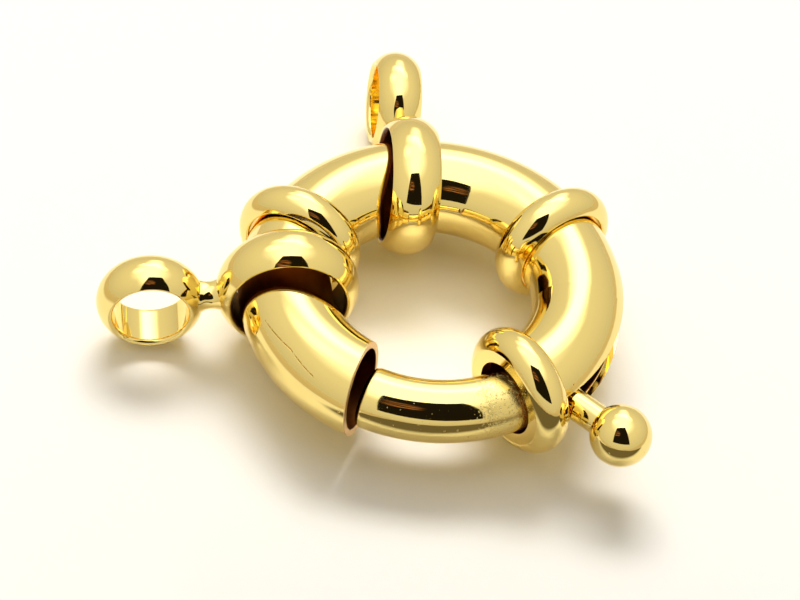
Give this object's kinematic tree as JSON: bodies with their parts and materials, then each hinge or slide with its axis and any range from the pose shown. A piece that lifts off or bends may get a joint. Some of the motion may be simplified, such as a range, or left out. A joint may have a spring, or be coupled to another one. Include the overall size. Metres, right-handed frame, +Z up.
{
  "type": "spring ring clasp with two end links",
  "caption": "Hollow ring with a spring-loaded tongue that opens a gap by a thumb pin, collars round the tube, and loose end links with eyes.",
  "frame": {"origin": "where the ring's axis meets the surface that the clasp lies on", "axes": "+Z up along the ring's axis, +X to the thumb pin's side, +Y away from the front gap"},
  "size_m": [0.026, 0.0235, 0.0066],
  "materials": {
    "gold_plate": "mirror-polished gold plate on brass",
    "tongue_plate": "polished gold plate on brass, a little worn",
    "plain_brass": "unplated brass, hidden in the tube",
    "spring_steel": "drawn steel spring wire"
  },
  "bodies": {
    "ring": {"ring_tube": "gold_plate", "end_collar": "gold_plate", "right_collar": "gold_plate", "left_collar": "gold_plate", "spring_stop": "plain_brass", "return_spring": "spring_steel"},
    "sliding_tongue": {"tongue": "tongue_plate", "thumb_pin": "tongue_plate"},
    "left_end_link": {"left_link": "gold_plate"},
    "back_end_link": {"back_link": "gold_plate"}
  },
  "joints": [
    {"name": "tongue_slide", "type": "hinge", "parent": "ring", "child": "sliding_tongue", "pos_m": [0, 0, 0.00305], "axis": [0, 0, 1], "range_deg": [0, 50], "stiffness_Nm_per_rad": 0.012, "springref_deg": -28.65, "deforming": ["return_spring"]},
    {"name": "left_link_swing", "type": "hinge", "parent": "ring", "child": "left_end_link", "pos_m": [-0.00663, -0.00112, 0.00333], "axis": [-0.1837, 0.983, 0], "range_deg": [0, 110]},
    {"name": "back_link_swing", "type": "hinge", "parent": "ring", "child": "back_end_link", "pos_m": [-0.00183, 0.00636, 0.00333], "axis": [0.981, 0.1815, -0.0692], "range_deg": [0, 110]}
  ]
}
